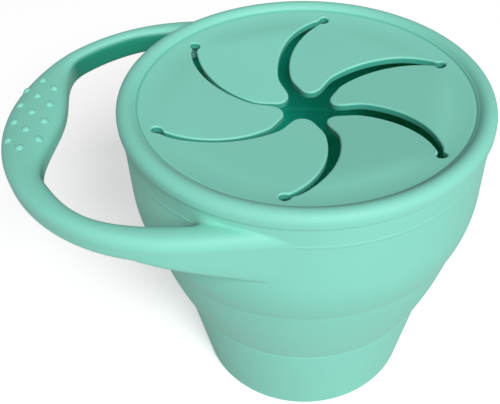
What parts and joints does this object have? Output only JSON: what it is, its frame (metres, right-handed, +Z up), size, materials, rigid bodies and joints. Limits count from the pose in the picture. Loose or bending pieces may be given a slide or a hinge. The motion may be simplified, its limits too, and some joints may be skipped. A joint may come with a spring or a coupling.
{
  "type": "toddler snack cup",
  "caption": "Soft silicone snack cup that folds down over its base, with a loop handle, a dotted grip pad and a push-on lid cut into swirling flaps.",
  "frame": {"origin": "centre of the base's flat underside, on the cup's axis", "axes": "+Z up along the cup's axis; the handle points along -X"},
  "size_m": [0.1176, 0.0906, 0.0878],
  "materials": {
    "silicone_base": "matte moulded silicone",
    "silicone_web": "matte moulded silicone, thin",
    "silicone_bowl": "matte moulded silicone",
    "silicone_handle": "matte moulded silicone",
    "silicone_lid": "matte moulded silicone"
  },
  "bodies": {
    "base": {"cup_base": "silicone_base"},
    "bowl": {"cup_bowl": "silicone_bowl", "fold_web": "silicone_web", "handle_arm_front": "silicone_handle", "handle_arm_back": "silicone_handle", "grip_pad": "silicone_handle"},
    "lid": {"lid_rim": "silicone_lid", "lid_membrane": "silicone_lid"},
    "petal_1": {"flap_1": "silicone_lid"},
    "petal_2": {"flap_2": "silicone_lid"},
    "petal_3": {"flap_3": "silicone_lid"},
    "petal_4": {"flap_4": "silicone_lid"},
    "petal_5": {"flap_5": "silicone_lid"},
    "petal_6": {"flap_6": "silicone_lid"}
  },
  "joints": [
    {"name": "cup_fold", "type": "slide", "parent": "base", "child": "bowl", "axis": [0, 0, -1], "range_m": [0, 0.044], "deforming": ["fold_web"]},
    {"name": "lid_lift", "type": "slide", "parent": "bowl", "child": "lid", "axis": [0, 0, 1], "range_m": [0, 0.04]},
    {"name": "flap_1_bend", "type": "hinge", "parent": "lid", "child": "petal_1", "pos_m": [0.01612, 0.02672, 0.0845], "axis": [0.7346, -0.6785, 0], "range_deg": [-30, 50], "stiffness_Nm_per_rad": 0.01},
    {"name": "flap_2_bend", "type": "hinge", "parent": "lid", "child": "petal_2", "pos_m": [-0.01508, 0.02732, 0.0845], "axis": [0.9549, 0.2969, 0], "range_deg": [-30, 50], "stiffness_Nm_per_rad": 0.01},
    {"name": "flap_3_bend", "type": "hinge", "parent": "lid", "child": "petal_3", "pos_m": [-0.0312, 0.0006, 0.0845], "axis": [0.2203, 0.9754, 0], "range_deg": [-30, 50], "stiffness_Nm_per_rad": 0.01},
    {"name": "flap_4_bend", "type": "hinge", "parent": "lid", "child": "petal_4", "pos_m": [-0.01612, -0.02672, 0.0845], "axis": [-0.7346, 0.6785, 0], "range_deg": [-30, 50], "stiffness_Nm_per_rad": 0.01},
    {"name": "flap_5_bend", "type": "hinge", "parent": "lid", "child": "petal_5", "pos_m": [0.01508, -0.02732, 0.0845], "axis": [-0.9549, -0.2969, 0], "range_deg": [-30, 50], "stiffness_Nm_per_rad": 0.01},
    {"name": "flap_6_bend", "type": "hinge", "parent": "lid", "child": "petal_6", "pos_m": [0.0312, -0.0006, 0.0845], "axis": [-0.2203, -0.9754, 0], "range_deg": [-30, 50], "stiffness_Nm_per_rad": 0.01}
  ]
}
